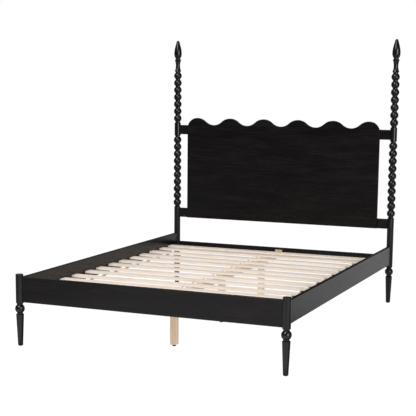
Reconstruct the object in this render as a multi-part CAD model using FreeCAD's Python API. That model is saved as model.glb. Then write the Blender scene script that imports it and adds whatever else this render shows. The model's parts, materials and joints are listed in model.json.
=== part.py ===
import FreeCAD, Part
import math
import os

# Platform bed with turned posts and a scalloped headboard, queen size. Lengths are in millimetres.
# The origin is on the floor at the middle of the bed, X runs across it, +Y points to the headboard, Z is up.

# Mattress that the frame takes, and the room left around it
mattress_width = 1524.0
mattress_length = 2032.0
mattress_side_gap = 12.0
mattress_end_gap = 58.0

# Turned posts
leg_length = 181.0
leg_foot_radius = 14.4
leg_foot_chamfer = 1.5
shaft_radius = 22.0
shoulder_height = 4.0
neck_radius = 16.6
neck_length = 6.4
ball_radius = 27.4
bead_radius = 27.4
lower_bead_count = 10
upper_bead_count = 7
shaft_margin = 6.0
foot_post_rise = 14.0
foot_post_round = 3.0
ring_groove_drop = 11.0
ring_groove_depth = 0.8
spool_rim_radius = 23.2
spool_waist_radius = 15.0
spool_height = 81.0
spool_lip = 3.0
glide_radius = 10.0
glide_height = 3.0
glide_round = 1.0

# Finials: heights above the neck, then above the widest place
finial_neck_length = 8.0
finial_radius = 26.6
finial_base_height = 26.0
finial_base_middle_radius = 23.4
finial_base_middle_height = 11.0
finial_middle_radius = 22.0
finial_middle_height = 44.0
finial_shoulder_radius = 12.6
finial_shoulder_height = 80.0
finial_taper_height = 96.0

# Rails
rail_thickness = 22.0
rail_edge_round = 2.0
rail_seat_web = 3.0
housing_clearance = 0.2
foot_rail_height = 143.0
side_rail_lift = 14.0
side_rail_height = 123.0
head_cross_rail_height = 61.5
headboard_rise = 116.5
headboard_rail_height = 65.0
upper_rail_margin_below = 9.0
upper_rail_margin_above = 14.5

# Headboard panel with its scalloped top
panel_thickness = 16.0
panel_side_gap = 89.0
panel_edge_round = 2.0
crest_count = 6
valley_rise = 5.0
scallop_depth = 48.0
end_crest_radius = 73.5

# Slats, their ledgers and ribbons
slat_count = 13
slat_width = 62.0
slat_thickness = 12.5
slat_edge_round = 1.5
slat_end_gap = 2.0
slat_foot_margin = 96.5
slat_head_margin = 110.0
slat_drift = 5.0
slats_towards_head = (1, 3, 5, 7, 9, 12)
ledger_width = 22.0
ledger_height = 25.0
ledger_lift = 13.0
ledger_end_gap = 68.0
ledger_edge_round = 1.5
ribbon_width = 18.0
ribbon_thickness = 1.0
outer_ribbon_inset = 144.0
middle_ribbon_width = 5.0
middle_ribbon_gap = 18.0

# Centre beam, its hangers and its legs
beam_width = 38.0
beam_height = 38.0
beam_end_gap = 1.0
hanger_sheet = 2.5
hanger_depth = 40.0
hanger_rise = 11.5
hanger_ear = 4.5
hanger_clearance = 0.3
support_leg_width = 38.0
support_leg_end_margin = 348.0
support_leg_round = 2.0

# Levelling feet under the support legs
pad_radius = 10.0
pad_height = 6.0
pad_round = 1.0
pad_socket_depth = 4.0
stud_collar_flats = 13.0
stud_collar_height = 3.0
leveller_radius = 4.0
leveller_length = 44.0
leveller_clearance = 0.3
insert_radius = 6.5
insert_height = 18.0
insert_flange_radius = 9.0
insert_flange_height = 1.5

# Fasteners
bolt_radius = 3.0
bolt_embed = 22.0
bolt_tail = 5.0
bolt_edge_distance = 35.0
bolt_stagger = 16.0
pocket_radius = 12.0
pocket_setback = 35.0
pocket_past_bolt = 6.5
crescent_thickness = 6.0
nut_flats = 10.0
nut_thickness = 5.0
hexagon_face_share = 0.95
hexagon_bevel = 30.0
dowel_radius = 4.0
dowel_half_length = 13.0
dowel_offset = 20.0
cross_rail_dowel_offset = 12.0
leg_bolt_radius = 4.0
leg_bolt_half_length = 28.0
finial_screw_radius = 3.0
finial_screw_half_length = 25.0
screw_radius = 2.0
screw_head_radius = 4.0
screw_point = 4.0
screw_tip_radius = 0.5
pan_head_height = 2.5
pan_head_round = 1.0
recess_width = 0.9
recess_depth = 1.6
recess_wall = 0.2
panel_screw_length = 32.0
panel_screw_count = 6
panel_screw_margin = 85.0
ledger_screw_length = 36.0
ledger_screw_count = 7
ledger_screw_margin = 60.0
hanger_screw_length = 18.0
hanger_screw_spread = 24.0
fastener_clearance = 0.15
hole_end_room = 0.5

# Places across and along the bed
post_x = mattress_width / 2 + mattress_side_gap + rail_thickness / 2
post_y = (mattress_length + mattress_end_gap + rail_thickness + panel_thickness) / 2
rail_seat = rail_thickness / 2 + rail_seat_web
inner_x = post_x - rail_thickness / 2
inner_y = post_y - rail_thickness / 2
panel_front_y = inner_y - panel_thickness
panel_half_width = post_x - panel_side_gap
ledger_half_length = inner_y - ledger_end_gap

# Heights, from the floor up
ball_half_height = math.sqrt(ball_radius ** 2 - neck_radius ** 2)
bead_half_height = math.sqrt(bead_radius ** 2 - neck_radius ** 2)
bead_pitch = 2 * bead_half_height + neck_length
leg_top = glide_height + leg_length
shaft_bottom = leg_top + 2 * neck_length + 2 * ball_half_height + shoulder_height
foot_rail_bottom = shaft_bottom + shaft_margin
foot_rail_top = foot_rail_bottom + foot_rail_height
foot_post_top = foot_rail_top + foot_post_rise
side_rail_bottom = foot_rail_bottom + side_rail_lift
side_rail_top = side_rail_bottom + side_rail_height
head_cross_rail_bottom = side_rail_bottom
head_cross_rail_top = head_cross_rail_bottom + head_cross_rail_height
lower_rail_bottom = side_rail_top + headboard_rise
lower_rail_top = lower_rail_bottom + headboard_rail_height
lower_beads_bottom = lower_rail_top + shaft_margin + shoulder_height
lower_beads_top = lower_beads_bottom + lower_bead_count * bead_pitch + neck_length
upper_shaft_bottom = lower_beads_top + shoulder_height
upper_rail_bottom = upper_shaft_bottom + upper_rail_margin_below
upper_rail_top = upper_rail_bottom + headboard_rail_height
upper_shaft_top = upper_rail_top + upper_rail_margin_above
upper_beads_bottom = upper_shaft_top + shoulder_height
upper_beads_top = upper_beads_bottom + upper_bead_count * bead_pitch + neck_length
finial_bottom = upper_beads_top + spool_height + 2 * spool_lip
panel_valley = upper_rail_top + valley_rise
panel_crest = panel_valley + scallop_depth
ledger_bottom = side_rail_bottom + ledger_lift
slat_bottom = ledger_bottom + ledger_height
beam_top = slat_bottom
beam_bottom = beam_top - beam_height
support_leg_bottom = pad_height + stud_collar_height + leveller_clearance

# Heights of the rail bolts: they keep below the lower top of the rails that meet at a foot post,
# and are staggered from rail to rail, so that they cross freely
lower_top = min(side_rail_top, foot_rail_top)
side_bolt_heights = [side_rail_bottom + bolt_edge_distance, lower_top - bolt_edge_distance]
foot_bolt_heights = [side_bolt_heights[0] - bolt_stagger, side_bolt_heights[1] + bolt_stagger]
cross_rail_bolt_height = side_bolt_heights[0] - bolt_stagger
cross_rail_dowel_height = side_bolt_heights[0] + cross_rail_dowel_offset

RIGHT = FreeCAD.Vector(1, 0, 0)
HEADWARD = FreeCAD.Vector(0, 1, 0)
UP = FreeCAD.Vector(0, 0, 1)
LEFT = -RIGHT
FOOTWARD = -HEADWARD
SIDES = {"left": -1, "right": 1}
TOLERANCE = 1e-6


def point(x, y, z):
    return FreeCAD.Vector(x, y, z)


def box_between(low, high):
    size = high - low
    return Part.makeBox(size.x, size.y, size.z, low)


def evenly(first, last, count):
    step = (last - first) / (count - 1)
    return [first + step * index for index in range(count)]


def rounded_long_edges(solid, direction, radius):
    """Round the four straight edges that run along one direction."""
    edges = []
    for edge in solid.Edges:
        tangent = edge.tangentAt(edge.FirstParameter)
        if abs(abs(tangent.dot(direction)) - 1) < TOLERANCE:
            edges.append(edge)
    return solid.makeFillet(radius, edges)


def hexagonal_prism(flats, height, base, direction):
    """Hexagon of a nut or collar, with its corners bevelled at both ends."""
    corner = flats / math.sqrt(3)
    corners = []
    for index in range(7):
        angle = math.radians(60 * index)
        corners.append(point(corner * math.cos(angle), corner * math.sin(angle), 0))
    bevel = Turning(0.0)
    face_radius = hexagon_face_share * flats / 2
    middle_radius = face_radius + height / 2 / math.tan(math.radians(hexagon_bevel))
    bevel.line(face_radius)
    bevel.line(middle_radius, height / 2)
    bevel.line(face_radius, height / 2)
    prism = Part.Face(Part.makePolygon(corners)).extrude(UP * height).common(bevel.solid())
    prism.Placement = FreeCAD.Placement(base, FreeCAD.Rotation(UP, direction))
    return prism


class Turning:
    """Profile of a turned piece, followed from its bottom to its top and then revolved about Z."""

    def __init__(self, height):
        self.start = point(0, 0, height)
        self.at = self.start
        self.edges = []

    def line(self, radius, rise=0.0):
        end = point(radius, 0, self.at.z + rise)
        self.edges.append(Part.LineSegment(self.at, end).toShape())
        self.at = end

    def line_to(self, radius, height):
        self.line(radius, height - self.at.z)

    def arc(self, middle_radius, middle_rise, radius, rise):
        middle = point(middle_radius, 0, self.at.z + middle_rise)
        end = point(radius, 0, self.at.z + rise)
        self.edges.append(Part.Arc(self.at, middle, end).toShape())
        self.at = end

    def curve(self, steps, start_direction, end_direction):
        """Smooth curve through points given as a radius and a rise, with a direction at each end."""
        points = [self.at]
        for radius, rise in steps:
            points.append(point(radius, 0, self.at.z + rise))
        spline = Part.BSplineCurve()
        spline.interpolate(Points=points, InitialTangent=start_direction, FinalTangent=end_direction)
        self.edges.append(spline.toShape())
        self.at = points[-1]

    def round_in(self, radius):
        """Quarter round from an upright wall to a level top."""
        diagonal = radius * math.sqrt(0.5)
        self.arc(self.at.x - radius + diagonal, diagonal, self.at.x - radius, radius)

    def bead(self, radius):
        """Round bead that springs from the neck reached so far and comes back to it."""
        half_height = math.sqrt(radius ** 2 - self.at.x ** 2)
        self.arc(radius, half_height, self.at.x, 2 * half_height)

    def solid(self):
        if self.at.x > 0:
            self.line(0.0)
        self.edges.append(Part.LineSegment(self.at, self.start).toShape())
        revolved = Part.Face(Part.Wire(self.edges)).revolve(point(0, 0, 0), UP, 360)
        return Part.makeSolid(revolved.Shells[0])


def turn_lower_end(turning):
    """Tapered leg, ball and shoulder, up to the bottom of the plain shaft."""
    turning.line(leg_foot_radius - leg_foot_chamfer)
    turning.line(leg_foot_radius, leg_foot_chamfer)
    turning.line_to(shaft_radius, leg_top - shoulder_height)
    turning.line(neck_radius, shoulder_height)
    turning.line(neck_radius, neck_length)
    turning.bead(ball_radius)
    turning.line(neck_radius, neck_length)
    turning.line(shaft_radius, shoulder_height)


def turn_bead_run(turning, count):
    """Row of equal beads between two shoulders of the plain shaft."""
    turning.line(neck_radius, shoulder_height)
    for _ in range(count):
        turning.line(neck_radius, neck_length)
        turning.bead(bead_radius)
    turning.line(neck_radius, neck_length)


def foot_post_turning():
    turning = Turning(glide_height)
    turn_lower_end(turning)
    turning.line_to(shaft_radius, foot_post_top - ring_groove_drop - ring_groove_depth)
    turning.line(shaft_radius - ring_groove_depth, ring_groove_depth)
    turning.line(shaft_radius, ring_groove_depth)
    turning.line_to(shaft_radius, foot_post_top - foot_post_round)
    turning.round_in(foot_post_round)
    return turning.solid()


def head_post_turning():
    turning = Turning(glide_height)
    turn_lower_end(turning)
    turning.line_to(shaft_radius, lower_beads_bottom - shoulder_height)
    turn_bead_run(turning, lower_bead_count)
    turning.line(shaft_radius, shoulder_height)
    turning.line_to(shaft_radius, upper_shaft_top)
    turn_bead_run(turning, upper_bead_count)
    turning.line(spool_rim_radius, spool_lip)
    turning.arc(spool_waist_radius, spool_height / 2, spool_rim_radius, spool_height)
    turning.line(neck_radius, spool_lip)
    return turning.solid()


def finial():
    """Spear-shaped finial on a short neck, above the origin's axis."""
    turning = Turning(finial_bottom)
    turning.line(neck_radius)
    turning.line(neck_radius, finial_neck_length)
    base = [(finial_base_middle_radius, finial_base_middle_height), (finial_radius, finial_base_height)]
    turning.curve(base, RIGHT + UP / 2, UP)
    taper = [
        (finial_middle_radius, finial_middle_height),
        (finial_shoulder_radius, finial_shoulder_height),
        (0.0, finial_taper_height),
    ]
    turning.curve(taper, UP, LEFT)
    return turning.solid().cut(finial_screw(fastener_clearance, hole_end_room))


def finial_screw(clearance=0.0, end_room=0.0):
    """Double-ended screw, or its hole when it is given a clearance."""
    half = finial_screw_half_length + end_room
    return Part.makeCylinder(finial_screw_radius + clearance, 2 * half, UP * (finial_bottom - half))


# Rail end fitting: its own X runs from the post's axis along the rail, its Y towards the rail's pocketed face
def rail_bolt(clearance=0.0, end_room=0.0):
    start = rail_seat - bolt_embed - end_room
    end = rail_seat + pocket_setback + bolt_tail + end_room
    return Part.makeCylinder(bolt_radius + clearance, end - start, RIGHT * start, RIGHT)


def rail_dowel(clearance=0.0, end_room=0.0):
    start = rail_seat - dowel_half_length - end_room
    length = 2 * (dowel_half_length + end_room)
    return Part.makeCylinder(dowel_radius + clearance, length, RIGHT * start, RIGHT)


def nut_seat():
    return rail_seat + pocket_setback - pocket_radius + crescent_thickness


def bolt_pocket():
    base = point(rail_seat + pocket_setback, -pocket_past_bolt, 0)
    return Part.makeCylinder(pocket_radius, rail_thickness, base, HEADWARD)


def crescent_washer():
    half_depth = pocket_past_bolt - hole_end_room
    base = point(rail_seat + pocket_setback, -half_depth, 0)
    disc = Part.makeCylinder(pocket_radius - fastener_clearance, 2 * half_depth, base, HEADWARD)
    beyond = box_between(
        point(nut_seat(), -pocket_radius, -pocket_radius),
        point(nut_seat() + 2 * pocket_radius, pocket_radius, pocket_radius),
    )
    return disc.cut([beyond, rail_bolt(fastener_clearance)])


def bolt_nut():
    nut = hexagonal_prism(nut_flats, nut_thickness, RIGHT * nut_seat(), RIGHT)
    return nut.cut(rail_bolt(fastener_clearance))


class RailEnd:
    """Where one end of a rail meets a post: the post's axis, the way along the rail and its pocketed side."""

    def __init__(self, post, along, pocket_side, bolt_heights, dowel_heights=()):
        self.post = post
        self.turn = FreeCAD.Rotation(along, pocket_side, along.cross(pocket_side), "XYZ")
        self.bolt_heights = bolt_heights
        self.dowel_heights = dowel_heights

    def placed(self, shape, height):
        copy = shape.copy()
        place = FreeCAD.Placement(point(self.post.x, self.post.y, height), self.turn)
        copy.Placement = place.multiply(copy.Placement)
        return copy

    def at_bolts(self, shape):
        return [self.placed(shape, height) for height in self.bolt_heights]

    def at_dowels(self, shape):
        return [self.placed(shape, height) for height in self.dowel_heights]

    def holes(self):
        """Bolt and dowel holes, shared by the post and the rail."""
        bolts = self.at_bolts(rail_bolt(fastener_clearance, hole_end_room))
        return bolts + self.at_dowels(rail_dowel(fastener_clearance, hole_end_room))

    def pockets(self):
        return self.at_bolts(bolt_pocket())


def corner(side, end):
    """Foot of a post's axis on the floor: side -1 is left, end -1 is the foot of the bed."""
    return point(side * post_x, end * post_y, 0)


def crossing_rail_ends(end, pocket_side, bolt_heights, dowel_heights=()):
    """Both ends of a rail that runs across the bed."""
    ends = []
    for side in SIDES.values():
        ends.append(RailEnd(corner(side, end), LEFT * side, pocket_side, bolt_heights, dowel_heights))
    return ends


def side_rail_ends(side):
    ends = []
    for end in (-1, 1):
        ends.append(RailEnd(corner(side, end), FOOTWARD * end, LEFT * side, side_bolt_heights))
    return ends


def headboard_rail_ends(bottom):
    middle = bottom + headboard_rail_height / 2
    return crossing_rail_ends(1, HEADWARD, [middle], [middle - dowel_offset, middle + dowel_offset])


foot_rail_ends = crossing_rail_ends(-1, HEADWARD, foot_bolt_heights)
head_cross_rail_ends = crossing_rail_ends(1, HEADWARD, [cross_rail_bolt_height], [cross_rail_dowel_height])
lower_rail_ends = headboard_rail_ends(lower_rail_bottom)
upper_rail_ends = headboard_rail_ends(upper_rail_bottom)
all_rail_ends = side_rail_ends(-1) + side_rail_ends(1) + foot_rail_ends
all_rail_ends += head_cross_rail_ends + lower_rail_ends + upper_rail_ends


def crossing_rail_space(end, bottom, top, margin=0.0):
    """Box of a rail that runs across the bed, between the seats in its two posts."""
    half_thickness = rail_thickness / 2 + margin
    half_length = post_x - rail_seat
    low = point(-half_length, end * post_y - half_thickness, bottom - margin)
    high = point(half_length, end * post_y + half_thickness, top + margin)
    return box_between(low, high)


def side_rail_space(side, margin=0.0):
    half_thickness = rail_thickness / 2 + margin
    half_length = post_y - rail_seat
    low = point(side * post_x - half_thickness, -half_length, side_rail_bottom - margin)
    high = point(side * post_x + half_thickness, half_length, side_rail_top + margin)
    return box_between(low, high)


def crossing_rail(end, bottom, top, rail_ends):
    rail = rounded_long_edges(crossing_rail_space(end, bottom, top), RIGHT, rail_edge_round)
    cuts = []
    for rail_end in rail_ends:
        cuts += rail_end.holes() + rail_end.pockets()
    return rail.cut(cuts)


def side_rail(side):
    rail = rounded_long_edges(side_rail_space(side), HEADWARD, rail_edge_round)
    cuts = ledger_screws(side, fastener_clearance)
    for rail_end in side_rail_ends(side):
        cuts += rail_end.holes() + rail_end.pockets()
    return rail.cut(cuts)


def foot_post(side):
    post = foot_post_turning().translated(corner(side, -1))
    housings = [
        side_rail_space(side, housing_clearance),
        crossing_rail_space(-1, foot_rail_bottom, foot_rail_top, housing_clearance),
    ]
    holes = []
    for rail_end in side_rail_ends(side) + foot_rail_ends:
        holes += rail_end.holes()
    return post.cut(housings + holes)


def head_post(side):
    post = head_post_turning().cut(finial_screw(fastener_clearance, hole_end_room))
    post = post.translated(corner(side, 1))
    housings = [side_rail_space(side, housing_clearance)]
    for bottom, top in (
        (head_cross_rail_bottom, head_cross_rail_top),
        (lower_rail_bottom, lower_rail_top),
        (upper_rail_bottom, upper_rail_top),
    ):
        housings.append(crossing_rail_space(1, bottom, top, housing_clearance))
    holes = []
    for rail_end in side_rail_ends(side) + head_cross_rail_ends + lower_rail_ends + upper_rail_ends:
        holes += rail_end.holes()
    return post.cut(housings + holes)


def post_glides():
    glides = []
    for side in SIDES.values():
        for end in (-1, 1):
            glide = Part.makeCylinder(glide_radius, glide_height, corner(side, end))
            floor_edges = [edge for edge in glide.Edges if edge.BoundBox.ZMax < glide_height / 2]
            glides.append(glide.makeFillet(glide_round, floor_edges))
    return glides


# Wood screws, or their holes when they are given a clearance: the direction points into the wood,
# and the base is where the axis meets the face that the screw is driven into
def countersunk_screw(base, direction, length, clearance=0.0):
    head_height = screw_head_radius - screw_radius
    radius = screw_radius + clearance
    head = Part.makeCone(screw_head_radius + clearance, radius, head_height, base, direction)
    shank = Part.makeCylinder(radius, length - screw_point, base, direction)
    screw = head.fuse([shank, screw_tip(base, direction, length, clearance)])
    return screw if clearance > 0 else screw.cut(driver_recess(base, direction))


def pan_head_screw(base, direction, length, clearance=0.0):
    shank = Part.makeCylinder(screw_radius + clearance, length - screw_point, base, direction)
    screw = shank.fuse(screw_tip(base, direction, length, clearance))
    return screw if clearance > 0 else screw.fuse(pan_head(base, direction))


def pan_head(base, direction):
    turning = Turning(0.0)
    turning.line(screw_head_radius)
    turning.line(screw_head_radius, pan_head_height - pan_head_round)
    turning.round_in(pan_head_round)
    head = turning.solid().cut(driver_recess(UP * pan_head_height, -UP))
    head.Placement = FreeCAD.Placement(base, FreeCAD.Rotation(UP, -direction))
    return head


def driver_recess(face, direction):
    """Cross that a screwdriver fits, sunk into a head from the middle of its face."""
    reach = screw_radius - recess_wall
    half_width = recess_width / 2
    slots = []
    for half_x, half_y in ((reach, half_width), (half_width, reach)):
        slots.append(box_between(point(-half_x, -half_y, 0), point(half_x, half_y, recess_depth)))
    recess = slots[0].fuse(slots[1])
    recess.Placement = FreeCAD.Placement(face, FreeCAD.Rotation(UP, direction))
    return recess


def screw_tip(base, direction, length, clearance):
    start = base + direction * (length - screw_point)
    return Part.makeCone(screw_radius + clearance, screw_tip_radius, screw_point, start, direction)


def panel_screws(clearance=0.0):
    """Screws from behind, through the headboard's rails into its panel."""
    screws = []
    reach = panel_half_width - panel_screw_margin
    for bottom in (lower_rail_bottom, upper_rail_bottom):
        for x in evenly(-reach, reach, panel_screw_count):
            base = point(x, post_y + rail_thickness / 2, bottom + headboard_rail_height / 2)
            screws.append(countersunk_screw(base, FOOTWARD, panel_screw_length, clearance))
    return screws


def ledger_screws(side, clearance=0.0):
    screws = []
    reach = ledger_half_length - ledger_screw_margin
    for y in evenly(-reach, reach, ledger_screw_count):
        base = point(side * (inner_x - ledger_width), y, ledger_bottom + ledger_height / 2)
        screws.append(countersunk_screw(base, RIGHT * side, ledger_screw_length, clearance))
    return screws


def headboard_rail(bottom, rail_ends):
    rail = crossing_rail(1, bottom, bottom + headboard_rail_height, rail_ends)
    return rail.cut(panel_screws(fastener_clearance))


def scallop_edges(y):
    """Outline of the panel's top from its right edge to its left, as arcs that meet smoothly."""
    crest_x = evenly(panel_half_width - end_crest_radius, end_crest_radius - panel_half_width, crest_count)
    half_wave = (crest_x[0] - crest_x[1]) / 2
    wave_radius = (half_wave ** 2 + scallop_depth ** 2) / (4 * scallop_depth)
    middle = panel_valley + scallop_depth / 2
    quarter_angle = math.asin(half_wave / 2 / wave_radius) / 2
    edges = []

    def arc(first, second, third):
        ends = [point(x, y, z) for x, z in (first, second, third)]
        edges.append(Part.Arc(*ends).toShape())

    def end_crest(x, outward):
        """Quarter round at the panel's edge, then half a crest down to the first change of curve."""
        diagonal = end_crest_radius * math.sqrt(0.5)
        edge = (x + outward * end_crest_radius, panel_crest - end_crest_radius)
        shoulder = (x + outward * diagonal, panel_crest - end_crest_radius + diagonal)
        arc(edge, shoulder, (x, panel_crest))
        dip_x = x - outward * wave_radius * math.sin(quarter_angle)
        dip_z = panel_crest - wave_radius * (1 - math.cos(quarter_angle))
        arc((x, panel_crest), (dip_x, dip_z), (x - outward * half_wave / 2, middle))

    end_crest(crest_x[0], 1)
    for left_crest in crest_x[1:]:
        valley_x = left_crest + half_wave
        arc((valley_x + half_wave / 2, middle), (valley_x, panel_valley), (valley_x - half_wave / 2, middle))
        if left_crest is not crest_x[-1]:
            crest_start = (left_crest + half_wave / 2, middle)
            arc(crest_start, (left_crest, panel_crest), (left_crest - half_wave / 2, middle))
    end_crest(crest_x[-1], -1)
    return edges


def headboard_panel():
    y = panel_front_y
    bottom_left = point(-panel_half_width, y, lower_rail_bottom)
    bottom_right = point(panel_half_width, y, lower_rail_bottom)
    side_top = UP * (panel_crest - end_crest_radius - lower_rail_bottom)
    edges = [
        Part.LineSegment(bottom_left, bottom_right).toShape(),
        Part.LineSegment(bottom_right, bottom_right + side_top).toShape(),
        Part.LineSegment(bottom_left + side_top, bottom_left).toShape(),
    ]
    outline = Part.Wire(Part.__sortEdges__(edges + scallop_edges(y)))
    panel = Part.Face(outline).extrude(HEADWARD * panel_thickness)
    front_edges = [edge for edge in panel.Edges if abs(edge.BoundBox.YMax - y) < TOLERANCE]
    panel = panel.makeFillet(panel_edge_round, front_edges)
    return panel.cut(panel_screws(fastener_clearance))


def ledger(side):
    inner = side * (inner_x - ledger_width)
    outer = side * inner_x
    low = point(min(inner, outer), -ledger_half_length, ledger_bottom)
    high = point(max(inner, outer), ledger_half_length, slat_bottom)
    strip = rounded_long_edges(box_between(low, high), HEADWARD, ledger_edge_round)
    return strip.cut(ledger_screws(side, fastener_clearance))


def slat_middles():
    """Slats lie a little off an even spacing, some towards the head and the others towards the foot."""
    first = -inner_y + slat_foot_margin + slat_width / 2
    last = inner_y - slat_head_margin - slat_width / 2
    middles = []
    for number, even_place in enumerate(evenly(first, last, slat_count), start=1):
        towards_head = number in slats_towards_head
        middles.append(even_place + slat_drift if towards_head else even_place - slat_drift)
    return middles


def slat(middle):
    half_length = inner_x - slat_end_gap
    low = point(-half_length, middle - slat_width / 2, slat_bottom)
    high = point(half_length, middle + slat_width / 2, slat_bottom + slat_thickness)
    return rounded_long_edges(box_between(low, high), RIGHT, slat_edge_round)


def slat_ribbons():
    """Ribbons fixed under the slats: one near each end and a narrow one beside the beam."""
    outer = inner_x - outer_ribbon_inset
    beside_beam = -(beam_width / 2 + middle_ribbon_gap + middle_ribbon_width / 2)
    middles = slat_middles()
    ribbons = []
    for x, width in ((-outer, ribbon_width), (beside_beam, middle_ribbon_width), (outer, ribbon_width)):
        low = point(x - width / 2, middles[0] - slat_width / 2, slat_bottom - ribbon_thickness)
        high = point(x + width / 2, middles[-1] + slat_width / 2, slat_bottom)
        ribbons.append(box_between(low, high))
    return ribbons


def centre_beam():
    half_length = inner_y - hanger_sheet - beam_end_gap
    low = point(-beam_width / 2, -half_length, beam_bottom)
    high = point(beam_width / 2, half_length, beam_top)
    cuts = [leg_bolt(y, fastener_clearance, hole_end_room) for y in support_leg_places().values()]
    for end in (-1, 1):
        cuts += hanger_cheek_screws(end, fastener_clearance)
    return rounded_long_edges(box_between(low, high), HEADWARD, slat_edge_round).cut(cuts)


def hanger_half_width():
    return beam_width / 2 + hanger_clearance + hanger_sheet


def hanger_back_screws(end, clearance=0.0):
    screws = []
    for x in (-hanger_screw_spread / 2, hanger_screw_spread / 2):
        base = point(x, end * (inner_y - hanger_sheet), beam_top + hanger_rise / 2)
        screws.append(pan_head_screw(base, HEADWARD * end, hanger_screw_length, clearance))
    return screws


def hanger_cheek_screws(end, clearance=0.0):
    screws = []
    y = end * (inner_y - hanger_depth / 2)
    for side in SIDES.values():
        base = point(side * hanger_half_width(), y, beam_bottom + beam_height / 2)
        screws.append(pan_head_screw(base, LEFT * side, hanger_screw_length, clearance))
    return screws


def hanger_screws(end, clearance=0.0):
    return hanger_back_screws(end, clearance) + hanger_cheek_screws(end, clearance)


def beam_hanger(end):
    """Bent steel saddle on a rail's inner face, with an eared back plate, a shelf and two cheeks."""

    def plate(x_low, x_high, depth, z_low, z_high):
        near = end * inner_y
        far = end * (inner_y - depth)
        low = point(x_low, min(near, far), z_low)
        return box_between(low, point(x_high, max(near, far), z_high))

    half = hanger_half_width()
    shelf_bottom = beam_bottom - hanger_sheet
    back_half = half + hanger_ear
    back = plate(-back_half, back_half, hanger_sheet, shelf_bottom, beam_top + hanger_rise)
    shelf = plate(-half, half, hanger_depth, shelf_bottom, beam_bottom)
    left_cheek = plate(-half, hanger_sheet - half, hanger_depth, shelf_bottom, beam_top)
    right_cheek = plate(half - hanger_sheet, half, hanger_depth, shelf_bottom, beam_top)
    saddle = back.fuse([shelf, left_cheek, right_cheek]).removeSplitter()
    return saddle.cut(hanger_screws(end, fastener_clearance)).Solids[0]


def rail_with_hanger(rail, end):
    return rail.cut(hanger_back_screws(end, fastener_clearance))


def support_leg_places():
    reach = inner_y - support_leg_end_margin
    return {"foot": -reach, "middle": 0.0, "head": reach}


def leg_bolt(y, clearance=0.0, end_room=0.0):
    half = leg_bolt_half_length + end_room
    return Part.makeCylinder(leg_bolt_radius + clearance, 2 * half, point(0, y, beam_bottom - half))


def support_leg(y):
    half = support_leg_width / 2
    low = point(-half, y - half, support_leg_bottom)
    leg = box_between(low, point(half, y + half, beam_bottom))
    eased_edges = [edge for edge in leg.Edges if edge.BoundBox.ZMin < beam_bottom - TOLERANCE]
    leg = leg.makeFillet(support_leg_round, eased_edges)
    stud_room = Part.makeCylinder(
        leveller_radius + leveller_clearance,
        leveller_length,
        point(0, y, support_leg_bottom),
    )
    cuts = [insert_blank(y, fastener_clearance), stud_room, leg_bolt(y, fastener_clearance, hole_end_room)]
    return leg.cut(cuts)


def insert_blank(y, clearance=0.0):
    base = point(0, y, support_leg_bottom)
    flange = Part.makeCylinder(insert_flange_radius + clearance, insert_flange_height, base)
    return flange.fuse(Part.makeCylinder(insert_radius + clearance, insert_height, base))


def leveller_insert(y):
    """Flanged threaded insert in the end of a support leg."""
    base = point(0, y, support_leg_bottom)
    bore = Part.makeCylinder(leveller_radius + leveller_clearance, insert_height, base)
    return insert_blank(y).cut(bore)


def leveller_stud(y):
    """Threaded stud with a spanner collar; its lower end turns in the pad's socket."""
    bottom = pad_height - pad_socket_depth
    shank = Part.makeCylinder(leveller_radius, leveller_length, point(0, y, bottom))
    collar = hexagonal_prism(stud_collar_flats, stud_collar_height, point(0, y, pad_height), UP)
    return shank.fuse(collar).removeSplitter()


def leveller_pad(y):
    disc = Part.makeCylinder(pad_radius, pad_height, point(0, y, 0))
    disc = disc.makeFillet(pad_round, [edge for edge in disc.Edges if edge.BoundBox.ZMin > pad_height / 2])
    socket_radius = leveller_radius + leveller_clearance
    socket_base = point(0, y, pad_height - pad_socket_depth)
    return disc.cut(Part.makeCylinder(socket_radius, pad_height, socket_base))


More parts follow.
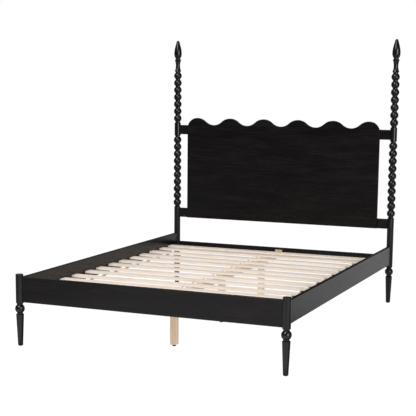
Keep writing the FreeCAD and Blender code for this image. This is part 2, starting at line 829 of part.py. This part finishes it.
def build():
    """All the pieces by name; identical fasteners share one name."""
    nodes = {}
    for name, side in SIDES.items():
        nodes[f"head_post_{name}"] = [head_post(side)]
        nodes[f"finial_{name}"] = [finial().translated(corner(side, 1))]
        nodes[f"foot_post_{name}"] = [foot_post(side)]
        nodes[f"side_rail_{name}"] = [side_rail(side)]
        nodes[f"ledger_{name}"] = [ledger(side)]
    foot_rail = crossing_rail(-1, foot_rail_bottom, foot_rail_top, foot_rail_ends)
    cross_rail = crossing_rail(1, head_cross_rail_bottom, head_cross_rail_top, head_cross_rail_ends)
    nodes["foot_rail"] = [rail_with_hanger(foot_rail, -1)]
    nodes["head_cross_rail"] = [rail_with_hanger(cross_rail, 1)]
    nodes["headboard_lower_rail"] = [headboard_rail(lower_rail_bottom, lower_rail_ends)]
    nodes["headboard_upper_rail"] = [headboard_rail(upper_rail_bottom, upper_rail_ends)]
    nodes["headboard_panel"] = [headboard_panel()]
    for index, middle in enumerate(slat_middles(), start=1):
        nodes[f"slat_{index:02d}"] = [slat(middle)]
    nodes["slat_ribbons"] = slat_ribbons()
    nodes["centre_beam"] = [centre_beam()]
    nodes["beam_hanger_foot"] = [beam_hanger(-1)]
    nodes["beam_hanger_head"] = [beam_hanger(1)]
    leg_places = support_leg_places()
    for name, y in leg_places.items():
        nodes[f"support_leg_{name}"] = [support_leg(y)]
        nodes[f"leveller_stud_{name}"] = [leveller_stud(y)]
        nodes[f"leveller_pad_{name}"] = [leveller_pad(y)]
    nodes["leveller_inserts"] = [leveller_insert(y) for y in leg_places.values()]
    nodes["leg_bolts"] = [leg_bolt(y) for y in leg_places.values()]
    nodes["post_glides"] = post_glides()
    nodes["finial_screws"] = [finial_screw().translated(corner(side, 1)) for side in SIDES.values()]
    nodes["rail_bolts"] = []
    nodes["rail_crescents"] = []
    nodes["rail_nuts"] = []
    nodes["rail_dowels"] = []
    for rail_end in all_rail_ends:
        nodes["rail_bolts"] += rail_end.at_bolts(rail_bolt())
        nodes["rail_crescents"] += rail_end.at_bolts(crescent_washer())
        nodes["rail_nuts"] += rail_end.at_bolts(bolt_nut())
        nodes["rail_dowels"] += rail_end.at_dowels(rail_dowel())
    nodes["panel_screws"] = panel_screws()
    nodes["ledger_screws"] = ledger_screws(-1) + ledger_screws(1)
    nodes["hanger_screws"] = hanger_screws(-1) + hanger_screws(1)
    return nodes


os.makedirs("parts", exist_ok=True)
for node_name, solids in build().items():
    shape = solids[0] if len(solids) == 1 else Part.makeCompound(solids)
    shape.exportStep(f"parts/{node_name}.step")
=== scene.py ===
import json
import math

import bmesh
import bpy
from mathutils import Matrix, Vector


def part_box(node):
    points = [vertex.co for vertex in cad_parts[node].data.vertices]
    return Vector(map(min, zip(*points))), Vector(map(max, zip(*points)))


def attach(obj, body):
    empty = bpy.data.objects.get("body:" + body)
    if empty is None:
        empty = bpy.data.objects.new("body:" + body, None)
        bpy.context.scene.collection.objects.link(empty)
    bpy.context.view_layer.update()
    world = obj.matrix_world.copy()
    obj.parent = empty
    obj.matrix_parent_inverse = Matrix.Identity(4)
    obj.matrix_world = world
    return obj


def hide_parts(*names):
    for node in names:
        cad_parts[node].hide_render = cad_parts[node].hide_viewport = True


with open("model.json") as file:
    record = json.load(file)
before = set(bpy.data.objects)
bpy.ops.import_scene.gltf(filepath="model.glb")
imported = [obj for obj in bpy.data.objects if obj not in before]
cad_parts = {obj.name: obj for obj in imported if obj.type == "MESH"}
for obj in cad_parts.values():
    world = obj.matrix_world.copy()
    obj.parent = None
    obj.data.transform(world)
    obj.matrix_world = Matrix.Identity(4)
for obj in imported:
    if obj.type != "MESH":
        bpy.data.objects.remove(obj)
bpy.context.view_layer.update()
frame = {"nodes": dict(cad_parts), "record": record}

# Camera: fitted to the photograph's posts, rails and headboard. Places are in metres, angles in degrees.
PHOTO_SIDE = 416
PHOTO_FOCAL_PIXELS = 1129.724
PHOTO_AXIS_PIXEL = (195.0, 262.0)
SENSOR_WIDTH = 36.0
CAMERA_PLACE = (2.57369, -6.36082, 1.47463)
CAMERA_YAW = 23.41993
CAMERA_PITCH = -9.10197
CAMERA_ROLL = -0.40826

# Floor and surroundings: levels are those of a white surface, so that 1 is white
AMBIENT_LEVEL = 0.41
BACKDROP_SEEN_LEVEL = 1.0
REFLECTED_HORIZON = 0.07
REFLECTED_ZENITH = 0.34
FLOOR_SIDE = 11.0
FARTHEST_SEEN = 10 * FLOOR_SIDE
FLOOR_COLOUR = (0.16, 0.16, 0.16, 1.0)
FLOOR_SEEN_GLOW = 0.93
FLOOR_BOUNCE_GLOW = 0.54
# Floor's level in a reflection, painted by place: one factor by the place along the bed and one by the place
# across it. Painted shade under the bed, and painted bright patches in front of it that show as painted
# highlights and dark rims on the posts and rails
FLOOR_PAINTED_REFLECTION_ALONG = ((-2.6, 0.6), (-1.2, 0.85), (-1.05, 0.08), (0.0, 0.08), (0.6, 0.34), (3.2, 0.5))
FLOOR_PAINTED_REFLECTION_ACROSS = ((-3.0, 0.7), (-1.7, 0.1), (-0.85, 1.0))

# Lamps: where they stand, how wide and high they are, and their power in watts
LIGHT_AIM = Vector((0.0, 0.0, 0.6))
KEY_PLACE = (-1.15, -4.7, 6.4)
KEY_SIZE = (2.5, 5.6)
KEY_POWER = 440.0
FILL_PLACE = (6.0, -4.4, 2.1)
FILL_SIZE = (5.0, 4.0)
FILL_POWER = 340.0

# Levelling studs: an M8 thread and a spanner collar, of the same sizes as the plain studs in the frame
LEVELLER_PLACES = ("foot", "middle", "head")
STUD_RADIUS = 0.004
STUD_END_BEVEL = 0.0008
COLLAR_HEIGHT = 0.003
COLLAR_FACE_SHARE = 0.95
COLLAR_BEVEL = 30.0
HEXAGON_SIDE_ANGLE = 60.0
THREAD_PITCH = 0.00125
THREAD_DEPTH = 0.0007
THREAD_STEPS = 8
ROUND_STEPS = 48
SHARP_EDGE_ANGLE = 30.0

# Staples of flat wire that hold the ribbons to the slats
STAPLE_LENGTH = 0.010
STAPLE_WIDTH = 0.0013
STAPLE_THICKNESS = 0.0007
STAPLE_ROUND = 0.0002
STAPLE_END_LEAN = 90.0

# Grain: how far apart growth rings lie, and how long and wide fibres, streaks and figure are
RING_SPACING = 0.007
RING_WOBBLE = 0.012
FIBRE_LENGTH = 0.12
FIBRE_WIDTH = 0.0012
STREAK_LENGTH = 0.12
STREAK_WIDTH = 0.01
FIGURE_LENGTH = 0.3
FIGURE_WIDTH = 0.05
# Each board is cut from another place in the log: how far these places and the pith's lie apart
BOARD_SPREAD = 3.0
PITH_SPREAD = 0.35
PITH_DEPTH = 0.12
GOLDEN = 0.6180339887
SPREAD_STEP = 0.37
# The wave texture repeats after this length when its scale is 1
WAVE_LENGTH = 2 * math.pi / 20

# Lacquered wood, one lacquer in copies whose lightness stands in for light and shade: painted shade on the
# panel and the turned pieces, painted light on the other boards. Each gives how light it is, how much it
# mirrors, how rough it is and how far its grain stands out
VENEER_WITH_PAINTED_SHADE = {"tone": 0.5, "ior": 1.34, "roughness": 0.26, "relief": 0.12}
TURNED_WOOD_WITH_PAINTED_SHADE = {"tone": 0.4, "ior": 1.45, "roughness": 0.21, "relief": 0.02}
BOARD_WITH_PAINTED_LIGHT = {"tone": 0.7, "ior": 1.35, "roughness": 0.26, "relief": 0.12}
LACQUER_UNEVENNESS = 0.06
# Tan wood: the legs at full tone, and the beam and dowels a darker copy of the same wood, painted shade for
# the shade under the slats
LEG_TONE = 1.0
BEAM_PAINTED_SHADE_TONE = 0.78

# Metal, plastic and tape: marks to the metre, and the width of a yarn
PLATE_CLOUDS = (90.0, 90.0, 90.0)
PLATE_SCRATCHES = (900.0, 60.0, 900.0)
OXIDE_CLOUDS = (160.0, 160.0, 160.0)
PLASTIC_SKIN = (1500.0, 1500.0, 1500.0)
YARN_WIDTH = 0.0011

WHITE = (1.0, 1.0, 1.0, 1.0)
UNSCALED = (1.0, 1.0, 1.0)
AXES = ("X", "Y", "Z")
ACROSS_BED, ALONG_BED, UPRIGHT = range(3)

# Which way the grain runs in each piece: along the bed, up, or across it when neither list names it
GRAIN_ALONG = ("side_rail", "ledger", "centre_beam")
GRAIN_UP = ("head_post", "foot_post", "finial", "support_leg")
TURNED = ("head_post", "foot_post", "finial")


# Materials
class Shading:
    """Nodes of one material, from its coordinates to its surface."""

    def __init__(self, name):
        self.material = bpy.data.materials.new(name)
        self.material.use_nodes = True
        self.tree = self.material.node_tree
        self.surface = self.tree.nodes["Principled BSDF"]

    def fill(self, node, inputs):
        for key, value in inputs.items():
            socket = node.inputs[key]
            if isinstance(value, bpy.types.NodeSocket):
                self.tree.links.new(value, socket)
            else:
                socket.default_value = value

    def add(self, kind, inputs, **settings):
        node = self.tree.nodes.new("ShaderNode" + kind)
        for key, value in settings.items():
            setattr(node, key, value)
        self.fill(node, inputs)
        return node

    def place(self):
        """Point on the piece, in metres."""
        return self.add("TexCoord", {}).outputs["Object"]

    def scaled(self, place, scale, shift=(0.0, 0.0, 0.0)):
        return self.add("Mapping", {"Vector": place, "Scale": scale, "Location": shift}).outputs["Vector"]

    def noise(self, place, detail, roughness=0.55):
        inputs = {"Vector": place, "Scale": 1.0, "Detail": detail, "Roughness": roughness}
        return self.add("TexNoise", inputs).outputs["Fac"]

    def math(self, operation, first, second=0.0):
        return self.add("Math", {0: first, 1: second}, operation=operation).outputs[0]

    def between(self, value, low, high):
        """Value from 0 to 1, spread from low to high."""
        return self.add("MapRange", {"Value": value, "To Min": low, "To Max": high}).outputs["Result"]

    def sharpened(self, value, low, high):
        """Value cut to the stretch from low to high and spread from 0 to 1."""
        return self.add("MapRange", {"Value": value, "From Min": low, "From Max": high}).outputs["Result"]

    def ramp(self, value, stops):
        node = self.add("ValToRGB", {"Fac": value})
        elements = node.color_ramp.elements
        elements[0].position, elements[0].color = stops[0]
        elements[1].position, elements[1].color = stops[-1]
        for position, colour in stops[1:-1]:
            elements.new(position).color = colour
        return node.outputs["Color"]

    def mixed(self, share, first, second):
        return self.add("Mix", {0: share, 6: first, 7: second}, data_type="RGBA").outputs[2]

    def mixed_value(self, share, first, second):
        return self.add("Mix", {0: share, 2: first, 3: second}).outputs[0]

    def bump(self, height, strength, distance):
        inputs = {"Height": height, "Strength": strength, "Distance": distance}
        return self.add("Bump", inputs).outputs["Normal"]

    def finish(self, **inputs):
        self.fill(self.surface, {key.replace("_", " "): value for key, value in inputs.items()})
        return self.material


def grey(level):
    return (level, level, level, 1.0)


def toned(tone, red, green, blue):
    """Colour made lighter or darker by one factor."""
    return (tone * red, tone * green, tone * blue, 1.0)


def along_grain(axis, length, width):
    """Scale of a pattern that is drawn out along one axis."""
    return tuple(1 / length if index == axis else 1 / width for index in range(3))


def spread(seed, index):
    """Even spread of values from 0 to 1, one for each seed and index."""
    return (seed * GOLDEN + index * SPREAD_STEP) % 1.0


class Grain:
    """Growth rings, figure and fibres of a board that lies along one axis."""

    def __init__(self, shading, axis, seed):
        place = shading.place()
        shift = tuple(BOARD_SPREAD * spread(seed, index) for index in range(3))
        moved = shading.scaled(place, UNSCALED, shift)
        figure_place = shading.scaled(moved, along_grain(axis, FIGURE_LENGTH, FIGURE_WIDTH))
        fibre_place = shading.scaled(moved, along_grain(axis, FIBRE_LENGTH, FIBRE_WIDTH))
        streak_place = shading.scaled(moved, along_grain(axis, STREAK_LENGTH, STREAK_WIDTH))
        self.figure = shading.noise(figure_place, detail=2.0)
        self.fibre = shading.noise(fibre_place, detail=4.0, roughness=0.65)
        self.streak = shading.noise(streak_place, detail=3.0)
        wobble = shading.between(self.figure, low=-RING_WOBBLE, high=RING_WOBBLE)
        bent = shading.add("VectorMath", {0: place, 1: wobble}, operation="ADD").outputs[0]
        pith = [PITH_SPREAD * (spread(seed, index) - 0.5) - PITH_DEPTH for index in range(3)]
        pith[axis] = 0.0
        centred = shading.scaled(bent, UNSCALED, pith)
        inputs = {"Vector": centred, "Scale": WAVE_LENGTH / RING_SPACING, "Distortion": 0.0}
        settings = {"wave_type": "RINGS", "rings_direction": AXES[axis], "wave_profile": "SAW"}
        self.rings = shading.add("TexWave", inputs, **settings).outputs["Fac"]


def black_wood(name, axis, seed, tone, ior, roughness, relief):
    """Stained black wood under a satin lacquer, with the grain still telling."""
    shading = Shading(name)
    grain = Grain(shading, axis, seed)
    fine = shading.mixed_value(share=0.3, first=grain.streak, second=grain.fibre)
    marked = shading.mixed_value(share=0.4, first=fine, second=grain.figure)
    mark = shading.sharpened(marked, low=0.3, high=0.7)
    colour = shading.ramp(mark, [
        (0.1, toned(tone, 0.0036, 0.0027, 0.0030)),
        (0.5, toned(tone, 0.0070, 0.0052, 0.0057)),
        (0.9, toned(tone, 0.0150, 0.0112, 0.0118)),
    ])
    rough = shading.between(mark, low=roughness - LACQUER_UNEVENNESS, high=roughness + LACQUER_UNEVENNESS)
    height = shading.math("ADD", grain.fibre, shading.math("MULTIPLY", grain.rings, 0.35))
    normal = shading.bump(height, strength=relief, distance=0.0004)
    return shading.finish(Base_Color=colour, Roughness=rough, IOR=ior, Normal=normal)


def pale_wood(name, axis, seed):
    """Planed bare slat wood, faintly pink, with soft growth lines."""
    shading = Shading(name)
    grain = Grain(shading, axis, seed)
    tone = 0.94 + 0.06 * spread(seed, 5)
    base = shading.ramp(grain.figure, [
        (0.25, toned(tone, 0.70, 0.585, 0.485)),
        (0.55, toned(tone, 0.79, 0.690, 0.600)),
        (0.80, toned(tone, 0.84, 0.755, 0.680)),
    ])
    late = shading.math("MULTIPLY", shading.sharpened(grain.rings, low=0.55, high=1.0), 0.35)
    lined = shading.mixed(late, base, (0.66, 0.50, 0.37, 1.0))
    pale_share = shading.between(grain.streak, low=0.0, high=0.25)
    streaked = shading.mixed(pale_share, lined, (0.86, 0.79, 0.71, 1.0))
    rough = shading.between(grain.fibre, low=0.55, high=0.75)
    height = shading.math("ADD", grain.fibre, grain.rings)
    normal = shading.bump(height, strength=0.2, distance=0.0003)
    return shading.finish(Base_Color=streaked, Roughness=rough, IOR=1.4, Normal=normal)


def tan_wood(name, axis, seed, tone):
    """Clear sealed wood of the beam, its legs and the dowels."""
    shading = Shading(name)
    grain = Grain(shading, axis, seed)
    base = shading.ramp(grain.figure, [
        (0.25, toned(tone, 0.75, 0.56, 0.39)),
        (0.75, toned(tone, 0.89, 0.71, 0.53)),
    ])
    late = shading.math("MULTIPLY", shading.sharpened(grain.rings, low=0.5, high=1.0), 0.4)
    lined = shading.mixed(late, base, toned(tone, 0.66, 0.46, 0.30))
    rough = shading.between(grain.fibre, low=0.42, high=0.6)
    height = shading.math("ADD", grain.fibre, grain.rings)
    normal = shading.bump(height, strength=0.2, distance=0.0003)
    return shading.finish(Base_Color=lined, Roughness=rough, IOR=1.45, Normal=normal)


def plated_steel(name, dull, bright, roughness):
    """Zinc plate with the faint clouds of its passivation."""
    shading = Shading(name)
    clouds = shading.noise(shading.scaled(shading.place(), PLATE_CLOUDS), detail=4.0)
    scratches = shading.noise(shading.scaled(shading.place(), PLATE_SCRATCHES), detail=3.0)
    colour = shading.ramp(clouds, [(0.3, dull), (0.7, bright)])
    rough = shading.between(scratches, low=roughness - 0.08, high=roughness + 0.12)
    normal = shading.bump(scratches, strength=0.1, distance=0.0001)
    return shading.finish(Base_Color=colour, Metallic=1.0, Roughness=rough, Normal=normal)


def black_steel(name):
    """Steel under a cloudy black oxide."""
    shading = Shading(name)
    clouds = shading.noise(shading.scaled(shading.place(), OXIDE_CLOUDS), detail=4.0)
    colour = shading.ramp(clouds, [(0.3, grey(0.018)), (0.7, grey(0.036))])
    rough = shading.between(clouds, low=0.35, high=0.5)
    return shading.finish(Base_Color=colour, Metallic=0.6, Roughness=rough)


def moulded_plastic(name):
    """Black plastic with the fine skin of its mould."""
    shading = Shading(name)
    skin = shading.noise(shading.scaled(shading.place(), PLASTIC_SKIN), detail=2.0)
    colour = shading.ramp(skin, [(0.3, grey(0.012)), (0.7, grey(0.02))])
    rough = shading.between(skin, low=0.5, high=0.65)
    normal = shading.bump(skin, strength=0.2, distance=0.0001)
    return shading.finish(Base_Color=colour, Roughness=rough, Normal=normal)


def woven_tape(name):
    """Plain weave of dark polyester yarn."""
    shading = Shading(name)
    place = shading.scaled(shading.place(), (math.pi / YARN_WIDTH, math.pi / YARN_WIDTH, 0.0))
    parts = shading.add("SeparateXYZ", {"Vector": place})
    warp = shading.math("SINE", parts.outputs["X"])
    weft = shading.math("SINE", parts.outputs["Y"])
    weave = shading.between(shading.math("MULTIPLY", warp, weft), low=0.5, high=1.0)
    colour = shading.ramp(weave, [(0.0, grey(0.02)), (1.0, grey(0.07))])
    normal = shading.bump(weave, strength=0.5, distance=0.0003)
    return shading.finish(Base_Color=colour, Roughness=0.85, Normal=normal)


shared_finishes = {
    "yellow_zinc": plated_steel("yellow_zinc", (0.66, 0.59, 0.34, 1.0), (0.84, 0.78, 0.50, 1.0), 0.36),
    "steel": plated_steel("bright_zinc", (0.45, 0.46, 0.47, 1.0), (0.66, 0.66, 0.66, 1.0), 0.32),
    "black_steel": black_steel("black_steel"),
    "black_plastic": moulded_plastic("black_plastic"),
    "ribbon": woven_tape("woven_tape"),
}


def grain_axis(node):
    if node.startswith(GRAIN_ALONG):
        return ALONG_BED
    if node.startswith(GRAIN_UP):
        return UPRIGHT
    return ACROSS_BED


def finish_for(node, slot, seed):
    """Material of one node by its slot; every wooden piece is a board of its own."""
    axis = grain_axis(node)
    if slot == "black_wood":
        # Darker copies of the one lacquer for the panel and the turned pieces, a lighter one for the other
        # boards: painted shade and painted light
        if node == "headboard_panel":
            return black_wood(f"black_veneer_{node}", axis, seed, **VENEER_WITH_PAINTED_SHADE)
        if node.startswith(TURNED):
            return black_wood(f"black_turned_wood_{node}", axis, seed, **TURNED_WOOD_WITH_PAINTED_SHADE)
        return black_wood(f"black_wood_{node}", axis, seed, **BOARD_WITH_PAINTED_LIGHT)
    if slot == "slat_wood":
        return pale_wood(f"pale_wood_{node}", axis, seed)
    if slot in ("support_wood", "dowel_wood"):
        # Beam and dowels take a darker copy of the legs' wood: painted shade
        tone = LEG_TONE if node.startswith("support_leg") else BEAM_PAINTED_SHADE_TONE
        return tan_wood(f"tan_wood_{node}", axis, seed, tone)
    return shared_finishes[slot]


def dress_frame():
    for seed, subpart in enumerate(frame["record"]["subparts"], start=1):
        node = subpart["node"]
        material = finish_for(node, subpart["material_slot"], seed)
        mesh = frame["nodes"][node].data
        mesh.materials.clear()
        mesh.materials.append(material)


def new_object(name, data):
    made = bpy.data.objects.new(name, data)
    bpy.context.scene.collection.objects.link(made)
    return made


# Threaded studs and staples
def closed_tubes(name, tubes):
    """Mesh of closed tubes, each drawn through its rings of points and covered at both ends."""
    build = bmesh.new()
    for rings in tubes:
        loops = [[build.verts.new(place) for place in ring] for ring in rings]
        for lower, upper in zip(loops, loops[1:]):
            for index in range(len(lower)):
                after = (index + 1) % len(lower)
                build.faces.new((lower[index], lower[after], upper[after], upper[index]))
        build.faces.new(reversed(loops[0]))
        build.faces.new(loops[-1])
    bmesh.ops.recalc_face_normals(build, faces=build.faces)
    mesh = bpy.data.meshes.new(name)
    build.to_mesh(mesh)
    build.free()
    mesh.shade_smooth()
    mesh.set_sharp_from_angle(angle=math.radians(SHARP_EDGE_ANGLE))
    return mesh


def add_piece(name, tubes, slot, body):
    """New piece of the bed that rides on a body and takes its finish from a slot."""
    mesh = closed_tubes(name, tubes)
    mesh.materials.append(shared_finishes[slot])
    piece = new_object(name, mesh)
    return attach(piece, body)


def ring_about(middle, radius_at, height_at):
    """Ring of points about an upright axis, with a radius and a height for each angle."""
    places = []
    for index in range(ROUND_STEPS):
        angle = math.tau * index / ROUND_STEPS
        radius = radius_at(angle)
        x = middle.x + radius * math.cos(angle)
        y = middle.y + radius * math.sin(angle)
        places.append((x, y, height_at(angle)))
    return places


def level_ring(middle, radius, height):
    return ring_about(middle, lambda angle: radius, lambda angle: height)


def collar_rings(middle, flats, bottom, top):
    """Hexagon with its corners bevelled above and below."""
    face_radius = COLLAR_FACE_SHARE * flats / 2
    side_angle = math.radians(HEXAGON_SIDE_ANGLE)

    def side(angle):
        return flats / 2 / math.cos(angle % side_angle - side_angle / 2)

    def drop(angle):
        return (side(angle) - face_radius) * math.tan(math.radians(COLLAR_BEVEL))

    return [level_ring(middle, face_radius, bottom),
            ring_about(middle, side, lambda angle: bottom + drop(angle)),
            ring_about(middle, side, lambda angle: top - drop(angle)),
            level_ring(middle, face_radius, top)]


def thread_radius(height, angle):
    """Radius of a right-hand thread whose crest and root are each a quarter of its pitch wide."""
    phase = (height / THREAD_PITCH - angle / math.tau) % 1.0
    rise = min(max(2 * abs(2 * phase - 1) - 0.5, 0.0), 1.0)
    return STUD_RADIUS - THREAD_DEPTH * (1 - rise)


def thread_ring(middle, height, limit):
    """Ring of the thread at one height, no wider than a limit."""
    return ring_about(middle, lambda angle: min(thread_radius(height, angle), limit), lambda angle: height)


def thread_rings(middle, bottom, top):
    """Thread with a bevel at its upper end."""
    step = THREAD_PITCH / THREAD_STEPS
    end_radius = STUD_RADIUS - STUD_END_BEVEL
    rings = []
    for index in range(int((top - bottom) / step)):
        height = bottom + index * step
        rings.append(thread_ring(middle, height, end_radius + top - height))
    return rings + [level_ring(middle, end_radius, top)]


def make_threaded_stud(name):
    """Stud with a pin for its pad, a spanner collar and a thread, in place of the plain one."""
    node = f"leveller_stud_{name}"
    low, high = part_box(node)
    middle = (low + high) / 2
    collar_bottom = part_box(f"leveller_pad_{name}")[1].z
    collar_top = collar_bottom + COLLAR_HEIGHT
    rings = [level_ring(middle, STUD_RADIUS - STUD_END_BEVEL, low.z),
             level_ring(middle, STUD_RADIUS, low.z + STUD_END_BEVEL),
             level_ring(middle, STUD_RADIUS, collar_bottom)]
    rings += collar_rings(middle, high.y - low.y, collar_bottom, collar_top)
    rings += thread_rings(middle, collar_top, high.z)
    stud = add_piece(f"threaded_stud_{name}", [rings], "black_steel", f"stud_{name}")
    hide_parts(node)


def staple_rings(x, y, underside):
    """Flat wire that lies along y under a ribbon, with both ends bent up into it."""
    half_width = STAPLE_WIDTH / 2
    half_thickness = STAPLE_THICKNESS / 2
    half_length = STAPLE_LENGTH / 2
    bend = half_length - half_thickness
    corner = [(half_width, half_thickness - STAPLE_ROUND), (half_width - STAPLE_ROUND, half_thickness)]
    section = corner + [(-across, rise) for across, rise in reversed(corner)]
    section += [(-across, -rise) for across, rise in section]
    stations = [(-half_length, half_thickness, -STAPLE_END_LEAN),
                (-bend, -half_thickness, 0.0),
                (bend, -half_thickness, 0.0),
                (half_length, half_thickness, STAPLE_END_LEAN)]
    rings = []
    for along, level, lean in stations:
        back = math.sin(math.radians(lean))
        up = math.cos(math.radians(lean))
        rings.append([(x + across, y + along - rise * back, underside + level + rise * up)
                      for across, rise in section])
    return rings


def make_staples():
    """A staple wherever a ribbon crosses a slat."""
    slats = sorted(node for node in frame["nodes"] if node.startswith("slat_") and node != "slat_ribbons")
    ribbons = frame["nodes"]["slat_ribbons"].data
    edges = sorted({round(vertex.co.x, 4) for vertex in ribbons.vertices})
    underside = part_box("slat_ribbons")[0].z
    tubes = []
    for slat in slats:
        low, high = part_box(slat)
        for left, right in zip(edges[0::2], edges[1::2]):
            tubes.append(staple_rings((left + right) / 2, (low.y + high.y) / 2, underside))
    add_piece("ribbon_staples", tubes, "steel", "frame")


# Studio
def graded(nodes, links, coordinate, axis, stops):
    """Level along one axis that changes evenly from each stop to the next; a stop is a place and a level."""
    parts = nodes.new("ShaderNodeSeparateXYZ")
    links.new(nodes.new("ShaderNodeTexCoord").outputs[coordinate], parts.inputs[0])
    first, last = stops[0][0], stops[-1][0]
    share = nodes.new("ShaderNodeMapRange")
    share.inputs["From Min"].default_value = first
    share.inputs["From Max"].default_value = last
    links.new(parts.outputs[axis], share.inputs["Value"])
    ramp = nodes.new("ShaderNodeValToRGB")
    links.new(share.outputs["Result"], ramp.inputs["Fac"])
    elements = ramp.color_ramp.elements
    elements[0].color = grey(stops[0][1])
    elements[-1].color = grey(stops[-1][1])
    for place, level in stops[1:-1]:
        elements.new((place - first) / (last - first)).color = grey(level)
    return ramp.outputs["Color"]


def seen_level(nodes, links, seen, reflected, unseen):
    """Levels of a backdrop that is looked at, shows in a reflection, or only gives light."""
    path = nodes.new("ShaderNodeLightPath")

    def chosen(share, when_on, when_off):
        level = nodes.new("ShaderNodeMix")
        links.new(share, level.inputs["Factor"])
        for socket, value in ((level.inputs["A"], when_off), (level.inputs["B"], when_on)):
            if isinstance(value, bpy.types.NodeSocket):
                links.new(value, socket)
            else:
                socket.default_value = value
        return level.outputs["Result"]

    level = chosen(path.outputs["Is Transmission Ray"], reflected, unseen)
    level = chosen(path.outputs["Is Glossy Ray"], reflected, level)
    return chosen(path.outputs["Is Camera Ray"], seen, level)


def white_floor(name):
    """Matt floor that glows, so that it is white where it is looked at and still takes a shadow. In a
    reflection its glow is painted by place: painted shade under the bed and painted bright patches in front
    of it.
    """
    material = bpy.data.materials.new(name)
    material.use_nodes = True
    nodes = material.node_tree.nodes
    links = material.node_tree.links
    nodes.remove(nodes["Principled BSDF"])
    matt = nodes.new("ShaderNodeBsdfDiffuse")
    matt.inputs["Color"].default_value = FLOOR_COLOUR
    glow = nodes.new("ShaderNodeEmission")
    glow.inputs["Color"].default_value = WHITE
    # Painted reflection: the glow that reflections see is darker under the bed as painted shade and brighter
    # in front of it as painted light
    reflected = nodes.new("ShaderNodeMath")
    reflected.operation = "MULTIPLY"
    links.new(graded(nodes, links, "Object", "X", FLOOR_PAINTED_REFLECTION_ACROSS), reflected.inputs[0])
    links.new(graded(nodes, links, "Object", "Y", FLOOR_PAINTED_REFLECTION_ALONG), reflected.inputs[1])
    level = seen_level(nodes, links, FLOOR_SEEN_GLOW, reflected.outputs[0], FLOOR_BOUNCE_GLOW)
    links.new(level, glow.inputs["Strength"])
    both = nodes.new("ShaderNodeAddShader")
    links.new(matt.outputs[0], both.inputs[0])
    links.new(glow.outputs[0], both.inputs[1])
    links.new(both.outputs[0], nodes["Material Output"].inputs["Surface"])
    return material


def make_floor():
    mesh = bpy.data.meshes.new("floor")
    half = FLOOR_SIDE / 2
    corners = [(-half, -half, 0.0), (half, -half, 0.0), (half, half, 0.0), (-half, half, 0.0)]
    mesh.from_pydata(corners, [], [(0, 1, 2, 3)])
    mesh.materials.append(white_floor("white_floor"))
    floor = new_object("floor", mesh)


def make_world():
    world = bpy.data.worlds.new("studio")
    bpy.context.scene.world = world
    world.use_nodes = True
    nodes = world.node_tree.nodes
    links = world.node_tree.links
    background = nodes["Background"]
    background.inputs["Color"].default_value = WHITE
    sky = graded(nodes, links, "Generated", "Z", ((0.0, REFLECTED_HORIZON), (1.0, REFLECTED_ZENITH)))
    level = seen_level(nodes, links, BACKDROP_SEEN_LEVEL, sky, AMBIENT_LEVEL)
    links.new(level, background.inputs["Strength"])


def softbox(name, place, size, power):
    lamp = bpy.data.lights.new(name, "AREA")
    lamp.shape = "RECTANGLE"
    lamp.size, lamp.size_y = size
    lamp.energy = power
    light = new_object(name, lamp)
    light.location = place
    light.rotation_mode = "QUATERNION"
    light.rotation_quaternion = (LIGHT_AIM - Vector(place)).to_track_quat("-Z", "Y")


def make_camera():
    camera = bpy.data.cameras.new("camera")
    camera.sensor_width = SENSOR_WIDTH
    camera.lens = SENSOR_WIDTH * PHOTO_FOCAL_PIXELS / PHOTO_SIDE
    camera.shift_x = 0.5 - PHOTO_AXIS_PIXEL[0] / PHOTO_SIDE
    camera.shift_y = PHOTO_AXIS_PIXEL[1] / PHOTO_SIDE - 0.5
    camera.clip_end = FARTHEST_SEEN
    viewer = new_object("camera", camera)
    turn = Matrix.Rotation(math.radians(CAMERA_YAW), 4, "Z")
    turn = turn @ Matrix.Rotation(math.radians(CAMERA_PITCH), 4, "X")
    turn = turn @ Matrix.Rotation(math.radians(CAMERA_ROLL), 4, "Y")
    # A camera looks straight down until it is tipped up by a right angle, to look towards the headboard
    tipped_up = Matrix.Rotation(math.radians(90.0), 4, "X")
    viewer.matrix_world = Matrix.Translation(CAMERA_PLACE) @ turn @ tipped_up
    bpy.context.scene.camera = viewer


bpy.context.scene.view_settings.view_transform = "Standard"
dress_frame()
for place_name in LEVELLER_PLACES:
    make_threaded_stud(place_name)
make_staples()
make_floor()
make_world()
softbox("key_light", KEY_PLACE, KEY_SIZE, KEY_POWER)
softbox("fill_light", FILL_PLACE, FILL_SIZE, FILL_POWER)
make_camera()
